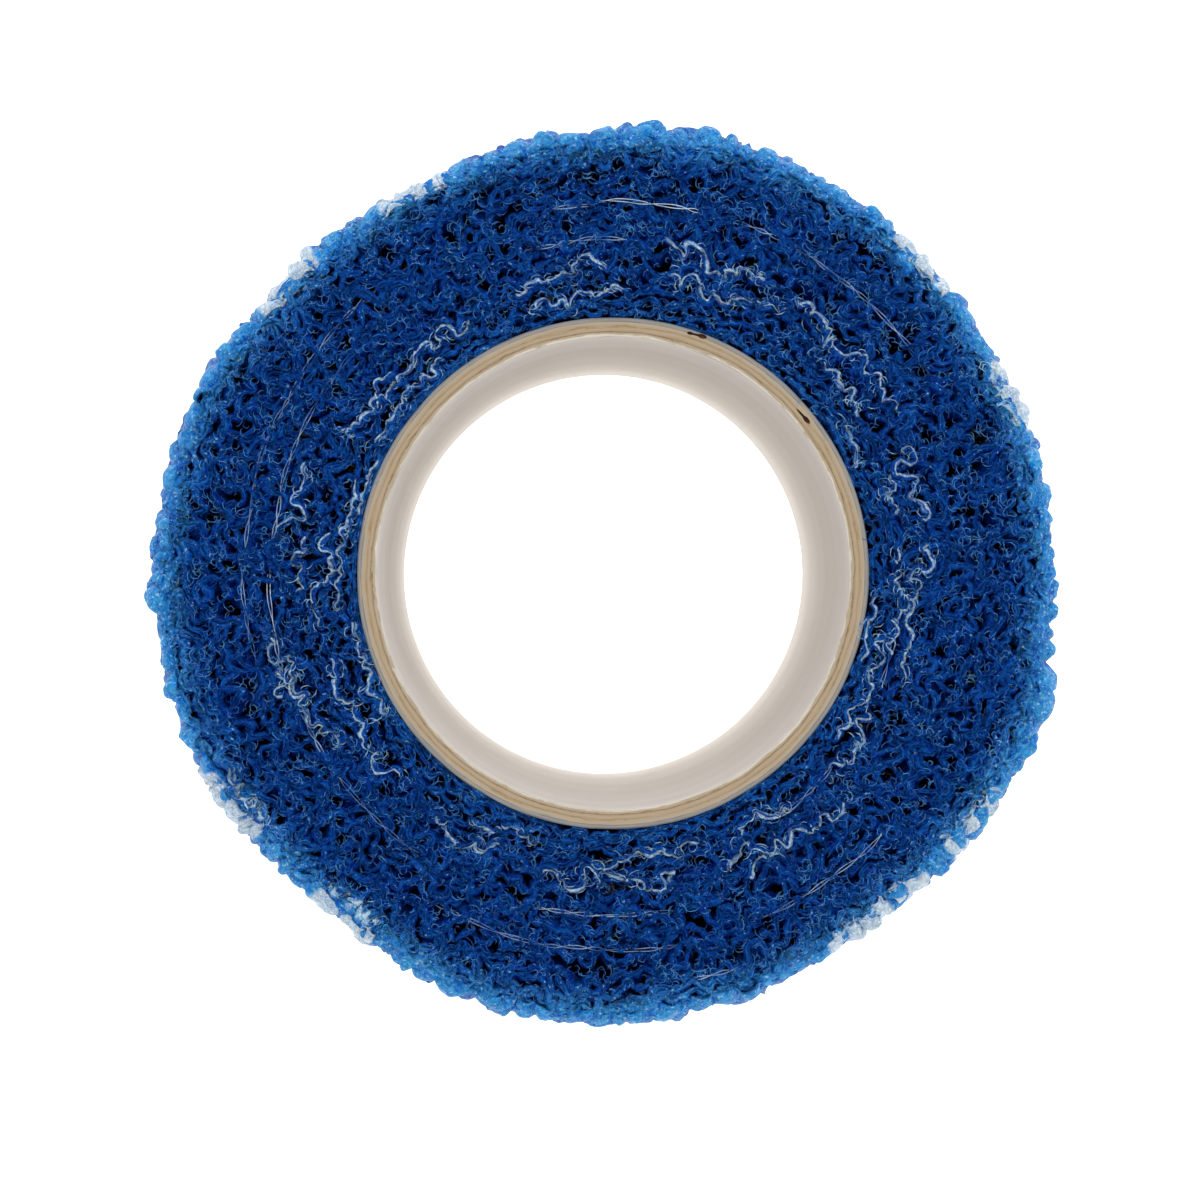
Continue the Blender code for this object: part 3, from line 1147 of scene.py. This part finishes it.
def blue_nonwoven():
    """Latex-coated blue nonwoven: a dyed fibre web, painted deep blue where it folds as painted shade,
    with paler fibres and small glints of latex painted in as highlights, and white ink where it is
    printed.

    Three attributes say how pale the web is painted, as painted light and shade, how inky it is, and
    where its slit edge's crest is. The outermost turn has no crest, which reads as 0.
    """
    material, tree, surface = new_material("latex_coated_blue_nonwoven")
    coords = add_node(tree, "TexCoord").outputs["Object"]
    in_mm = add_node(tree, "Mapping", {"Vector": coords, "Scale": (1 / MM,) * 3}).outputs[0]
    # How pale the web is painted, as painted light and shade.
    painted_shading = add_node(tree, "Attribute", settings={"attribute_name": "painted_shading"}).outputs["Fac"]
    ink = add_node(tree, "Attribute", settings={"attribute_name": "ink"}).outputs["Fac"]

    # The dyed web, mottled, with painted shade and light: deep blue in its folds, pale at its slit
    # edges and near the outline.
    cloud = add_node(
        tree, "TexNoise", {"Vector": in_mm, "Scale": 2.2, "Detail": 5.0, "Roughness": 0.8}
    ).outputs[0]
    mottle = add_node(
        tree, "MapRange", {0: cloud, "From Min": 0.3, "From Max": 0.7, "To Min": -0.3, "To Max": 0.3}
    ).outputs[0]
    mottled = add_node(tree, "Math", {0: painted_shading, 1: mottle}, {"operation": "ADD"}).outputs[0]
    body = add_node(
        tree,
        "ValToRGB",
        {0: mottled},
        stops=(
            (0.0, "#001E8A"),
            (1.0, "#2CA0E8"),
            (0.3, "#00248C"),
            (0.55, "#003EAC"),
            (0.8, "#0478DA"),
        ),
    ).outputs[0]

    # Paler filaments, as the thin contour lines of soft noises, shown most where the web is painted
    # pale, and a painted highlight along the crests of slit edges.
    lines = 0.0
    for kind in FILAMENT_LINES:
        soft = add_node(
            tree,
            "TexNoise",
            {"Vector": in_mm, "W": kind.per_mm, "Scale": kind.per_mm, "Detail": 1.0, "Distortion": 0.8},
            {"noise_dimensions": "4D"},
        ).outputs[0]
        off = add_node(tree, "Math", {0: soft, 1: 0.5}, {"operation": "SUBTRACT"}).outputs[0]
        away = add_node(tree, "Math", {0: off}, {"operation": "ABSOLUTE"}).outputs[0]
        line = add_node(
            tree,
            "MapRange",
            {0: away, "From Min": 0.0, "From Max": kind.wide, "To Min": 1, "To Max": 0},
        ).outputs[0]
        lines = add_node(tree, "Math", {0: lines, 1: line}, {"operation": "MAXIMUM"}).outputs[0]
    shown = add_node(tree, "MapRange", {0: painted_shading, "To Min": 0.6, "To Max": 0.9}).outputs[0]
    webbed = add_node(tree, "Math", {0: lines, 1: shown}, {"operation": "MULTIPLY"}).outputs[0]
    crest = add_node(tree, "Attribute", settings={"attribute_name": "crest"}).outputs["Fac"]
    on_crest = add_node(tree, "MapRange", {0: crest, "From Min": 0.5, "From Max": 0.9}).outputs[0]
    whole = add_node(
        tree, "MapRange", {0: cloud, "From Min": 0.40, "From Max": 0.56, "To Min": 0.15, "To Max": 0.9}
    ).outputs[0]
    painted_crest_highlight = add_node(tree, "Math", {0: on_crest, 1: whole}, {"operation": "MULTIPLY"}).outputs[0]
    pale = add_node(tree, "Math", {0: webbed, 1: painted_crest_highlight}, {"operation": "MAXIMUM"}).outputs[0]
    fibre = add_node(
        tree, "ValToRGB", {0: painted_shading}, stops=((0.0, "#145CB8"), (1.0, "#5CBCF4"), (0.4, "#1C74CA"))
    ).outputs[0]
    fibred = add_node(tree, "Mix", {0: pale, 6: body, 7: fibre}, {"data_type": "RGBA"}).outputs[2]

    # White ink, broken where the crinkles kept it off the cloth.
    patch = add_node(tree, "TexNoise", {"Vector": in_mm, "Scale": 4.6, "Detail": 4.0}).outputs[0]
    least = add_node(tree, "MapRange", {0: crest, "To Min": 0.7, "To Max": 0.4}).outputs[0]
    took = add_node(
        tree, "MapRange", {0: patch, "From Min": 0.46, "From Max": 0.53, "To Min": least, "To Max": 1}
    ).outputs[0]
    inked = add_node(tree, "MapRange", {0: ink, "From Min": 0.35, "From Max": 0.75}).outputs[0]
    cover = add_node(tree, "Math", {0: inked, 1: took}, {"operation": "MULTIPLY"}).outputs[0]
    white = add_node(
        tree,
        "Mix",
        {0: crest, 6: hex_colour("#E2F0FA"), 7: hex_colour("#C2EBFF")},
        {"data_type": "RGBA"},
    ).outputs[2]
    colour = add_node(tree, "Mix", {0: cover, 6: fibred, 7: white}, {"data_type": "RGBA"}).outputs[2]

    # Painted highlights: small wet-looking glints of latex painted into the colour, most of them where
    # the web is painted pale.
    speck = add_node(tree, "TexNoise", {"Vector": in_mm, "Scale": 5.0, "Detail": 1.0}).outputs[0]
    speck = add_node(
        tree, "Math", {0: painted_shading, 1: PAINTED_GLINT_IN_PALE, 2: speck}, {"operation": "MULTIPLY_ADD"}
    ).outputs[0]
    painted_glint = add_node(
        tree, "MapRange", {0: speck, "From Min": 0.725, "From Max": 0.785, "To Min": 0, "To Max": 0.85}
    ).outputs[0]
    colour = add_node(
        tree, "Mix", {0: painted_glint, 6: colour, 7: hex_colour("#A4D6F8")}, {"data_type": "RGBA"}
    ).outputs[2]
    tree.links.new(colour, surface.inputs["Base Color"])

    # Bumps of the fibres, up to a tenth of a millimetre high.
    grain = add_node(tree, "TexNoise", {"Vector": in_mm, "Scale": 4.5, "Detail": 3.0}).outputs[0]
    height = add_node(tree, "Math", {0: grain, 1: pale}, {"operation": "ADD"}).outputs[0]
    bump = add_node(tree, "Bump", {"Height": height, "Strength": 0.9, "Distance": 0.1 * MM})
    tree.links.new(bump.outputs["Normal"], surface.inputs["Normal"])
    surface.inputs["Roughness"].default_value = 0.32
    surface.inputs["Specular IOR Level"].default_value = 0.05
    return material


def loose_filament():
    """Loose filaments of the same web: thin enough that light passes, so they look paler."""
    material, tree, surface = new_material("loose_blue_filament")
    coords = add_node(tree, "TexCoord").outputs["Object"]
    patch = add_node(tree, "TexNoise", {"Vector": coords, "Scale": 0.9 / MM, "Detail": 2.0}).outputs[0]
    colour = add_node(
        tree, "ValToRGB", {0: patch}, stops=((0.36, "#1050BC"), (0.64, "#64AEF2"))
    ).outputs[0]
    tree.links.new(colour, surface.inputs["Base Color"])
    surface.inputs["Roughness"].default_value = 0.35
    surface.inputs["Specular IOR Level"].default_value = 0.1
    return material


def printed_filament():
    """Filaments with white ink on them, broken where the ink didn't take."""
    material, tree, surface = new_material("white_inked_filament")
    coords = add_node(tree, "TexCoord").outputs["Object"]
    patch = add_node(tree, "TexNoise", {"Vector": coords, "Scale": 2.6 / MM, "Detail": 2.0}).outputs[0]
    colour = add_node(
        tree, "ValToRGB", {0: patch}, stops=((0.42, "#3C90D8"), (0.54, "#C6EAFF"))
    ).outputs[0]
    tree.links.new(colour, surface.inputs["Base Color"])
    surface.inputs["Roughness"].default_value = 0.4
    surface.inputs["Specular IOR Level"].default_value = 0.3
    return material


YARN_BARE_PALER = 0.36


def elastic_yarn():
    """Spun elastic yarn: pale and slightly glossy where bare, and bluer under the web."""
    material, tree, surface = new_material("covered_elastic_yarn")
    coords = add_node(tree, "TexCoord").outputs["Object"]
    patch = add_node(tree, "TexNoise", {"Vector": coords, "Scale": 0.7 / MM, "Detail": 3.0}).outputs[0]
    bare = add_node(tree, "Attribute", settings={"attribute_name": "bare"}).outputs["Fac"]
    shown = add_node(
        tree, "Math", {0: bare, 1: YARN_BARE_PALER, 2: patch}, {"operation": "MULTIPLY_ADD"}
    ).outputs[0]
    colour = add_node(
        tree, "ValToRGB", {0: shown}, stops=((0.50, "#1C5CB0"), (0.90, "#D6ECFA"))
    ).outputs[0]
    tree.links.new(colour, surface.inputs["Base Color"])
    surface.inputs["Roughness"].default_value = 0.4
    return material


# Where the liner of the bore ends and the cut plies start, out from the bore.
LINER_EDGE_MM = (0.015, 0.05)


def core_board():
    """Spiral-wound paperboard: kraft plies with brown glue lines at the slit ends, and a smooth
    off-white liner down the bore, with faint bands from the winding."""
    material, tree, surface = new_material("spiral_wound_paperboard")
    coords = add_node(tree, "TexCoord").outputs["Object"]
    in_mm = add_node(tree, "Mapping", {"Vector": coords, "Scale": (1 / MM,) * 3}).outputs[0]
    axes = add_node(tree, "SeparateXYZ", {0: in_mm}).outputs
    flat = add_node(tree, "CombineXYZ", {0: axes[0], 1: axes[1]}).outputs[0]
    radius = add_node(tree, "VectorMath", {0: flat}, {"operation": "LENGTH"}).outputs["Value"]
    across = add_node(
        tree, "MapRange", {0: radius, "From Min": BORE_MM, "From Max": CORE_OUT_MM}
    ).outputs[0]
    around = add_node(tree, "VectorMath", {0: flat}, {"operation": "NORMALIZE"}).outputs[0]
    out_in = add_node(tree, "SeparateXYZ", {0: around}).outputs
    along_ply = add_node(tree, "CombineXYZ", {0: out_in[0], 1: out_in[1], 2: radius}).outputs[0]
    streaky = add_node(tree, "Mapping", {"Vector": along_ply, "Scale": (6, 6, 3)}).outputs[0]
    streak = add_node(
        tree, "TexNoise", {"Vector": streaky, "Scale": 1.0, "Detail": 5.0, "Roughness": 0.7}
    ).outputs[0]
    wander = add_node(
        tree, "MapRange", {0: streak, "From Min": 0.2, "From Max": 0.8, "To Min": -0.16, "To Max": 0.16}
    ).outputs[0]
    place = add_node(tree, "Math", {0: across, 1: wander}, {"operation": "ADD"}).outputs[0]
    plies = add_node(
        tree,
        "ValToRGB",
        {0: place},
        stops=(
            (0.00, "#D9D1C6"),
            (1.00, "#888B8F"),
            (0.10, "#DDD5C8"),
            (0.15, "#B8A890"),
            (0.25, "#B4A287"),
            (0.28, "#8F7350"),
            (0.31, "#AE9878"),
            (0.42, "#B6A288"),
            (0.52, "#B09A7C"),
            (0.55, "#A28860"),
            (0.58, "#B29E82"),
            (0.75, "#B5A692"),
            (0.80, "#9E988F"),
        ),
    ).outputs[0]
    low_band = add_node(tree, "Mapping", {"Vector": in_mm, "Scale": (0.02, 0.02, 0.14)}).outputs[0]
    band = add_node(tree, "TexNoise", {"Vector": low_band, "Scale": 1.0, "Detail": 1.0}).outputs[0]
    liner = add_node(
        tree, "ValToRGB", {0: band}, stops=((0.35, "#E7E1DB"), (0.65, "#EEEAE5"))
    ).outputs[0]
    fleck = add_node(tree, "TexNoise", {"Vector": in_mm, "Scale": 2.4, "Detail": 2.0}).outputs[0]
    flecked = add_node(
        tree, "MapRange", {0: fleck, "From Min": 0.70, "From Max": 0.76, "To Min": 0, "To Max": 0.35}
    ).outputs[0]
    bore = add_node(
        tree, "Mix", {0: flecked, 6: liner, 7: hex_colour("#A8927A")}, {"data_type": "RGBA"}
    ).outputs[2]
    on_rim = add_node(
        tree,
        "MapRange",
        {0: radius, "From Min": BORE_MM + LINER_EDGE_MM[0], "From Max": BORE_MM + LINER_EDGE_MM[1]},
    ).outputs[0]
    colour = add_node(tree, "Mix", {0: on_rim, 6: bore, 7: plies}, {"data_type": "RGBA"}).outputs[2]
    tree.links.new(colour, surface.inputs["Base Color"])
    fuzz = add_node(tree, "TexNoise", {"Vector": in_mm, "Scale": 7.0, "Detail": 3.0}).outputs[0]
    bump = add_node(tree, "Bump", {"Height": fuzz, "Strength": 0.35, "Distance": 0.04 * MM})
    tree.links.new(bump.outputs["Normal"], surface.inputs["Normal"])
    surface.inputs["Roughness"].default_value = 0.78
    return material


def painted_shade_board():
    """The torn inside of a split between plies: brown kraft, painted dark as painted shade deep in the
    split.
    """
    material, tree, surface = new_material("torn_kraft_with_painted_shade")
    coords = add_node(tree, "TexCoord").outputs["Object"]
    stain = add_node(tree, "TexNoise", {"Vector": coords, "Scale": 4 / MM, "Detail": 2.0}).outputs[0]
    colour = add_node(
        tree, "ValToRGB", {0: stain}, stops=((0.3, "#3C1A0C"), (0.7, "#7E4C2C"))
    ).outputs[0]
    tree.links.new(colour, surface.inputs["Base Color"])
    surface.inputs["Roughness"].default_value = 0.9
    return material


# ---------------------------------------------------------------- stage


FLOOR_M = 3

# The camera over the roll, placed and aimed as the photo was taken, with a long lens.
EYE_MM = (-3.39, -0.32, 319.4)
AIM_MM = (-0.706, -1.433, 50)
LENS_MM = 150
SENSOR_MM = 36
NEAREST_MM = 10

# One large soft lamp and an even white studio light. Sizes and places are in metres.
LAMP_PLACE = (0.1, 0.5, 0.9)
LAMP_SIZE = 0.7
LAMP_WATTS = 3.0
STUDIO_STRENGTH = 0.75


def pale_floor():
    """A white table lit from below, as in the photo, so that hardly a shadow shows on it."""
    deselect_all()
    bpy.ops.mesh.primitive_plane_add(size=FLOOR_M)
    floor = bpy.context.object
    floor.name = "floor"
    material, tree, surface = new_material("lit_white_table")
    surface.inputs["Base Color"].default_value = (0.9, 0.9, 0.9, 1)
    surface.inputs["Emission Color"].default_value = (1, 1, 1, 1)
    surface.inputs["Emission Strength"].default_value = 0.95
    floor.data.materials.append(material)


def soft_lamp():
    deselect_all()
    bpy.ops.object.light_add(type="AREA", location=LAMP_PLACE)
    lamp = bpy.context.object
    lamp.name = "overhead"
    lamp.data.size = LAMP_SIZE
    lamp.data.energy = LAMP_WATTS
    lamp.rotation_euler = (-lamp.location).to_track_quat("-Z", "Y").to_euler()


def studio_light():
    world = bpy.data.worlds.new("studio")
    bpy.context.scene.world = world
    world.use_nodes = True
    background = world.node_tree.nodes["Background"]
    background.inputs["Color"].default_value = (1, 1, 1, 1)
    background.inputs["Strength"].default_value = STUDIO_STRENGTH
    bpy.context.scene.view_settings.view_transform = "Standard"


def camera_over_the_roll():
    """A long lens over the roll, a little off its axis, with +Y at the top of the picture."""
    deselect_all()
    eye, aim = Vector(EYE_MM) * MM, Vector(AIM_MM) * MM
    away = (eye - aim).normalized()
    right = Vector((0, 1, 0)).cross(away).normalized()
    upright = Matrix((right, away.cross(right), away)).transposed()
    bpy.ops.object.camera_add(location=eye, rotation=upright.to_euler())
    camera = bpy.context.object
    camera.data.lens = LENS_MM
    camera.data.sensor_width = SENSOR_MM
    camera.data.clip_start = NEAREST_MM * MM
    bpy.context.scene.camera = camera


# ---------------------------------------------------------------- the whole roll


def add_to_wrap(piece, material):
    piece.data.materials.append(material)
    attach(piece, "root")


def add_cloth(cloth, material):
    """Adds a part of the wrap, and hides the CAD's plain wrap."""
    add_to_wrap(cloth, material)
    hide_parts("wound_wrap")


def build():
    blue = blue_nonwoven()
    printed_edges = []
    for number, (first, last) in enumerate(INNER_PARTS, 1):
        cloth, drawn_out, printed_edge = wind_turns(f"wrap_turns_{number}", first, last)
        printed_edges.append(printed_edge)
        add_cloth(cloth, blue)
    for number, (first, last) in enumerate(LAST_TURN_PARTS, 1):
        cloth, drawn_out = wind_last_turn(f"wrap_last_turn_{number}", first, last)
        add_cloth(cloth, blue)
    loose = round_strands("loose_filaments", loose_filament_paths(), FILAMENT_MM)
    add_to_wrap(loose, loose_filament())
    printed_paths = printed_filament_paths(np.concatenate(printed_edges))
    printed = round_strands("printed_filaments", printed_paths, FILAMENT_MM)
    add_to_wrap(printed, printed_filament())
    bare = np.repeat([run.bare for run in YARN_RUNS], 2)
    yarns = round_strands("elastic_yarns", yarn_paths(), YARN_MM, bare)
    add_to_wrap(yarns, elastic_yarn())
    build_core()
    pale_floor()
    studio_light()
    soft_lamp()
    camera_over_the_roll()


build()
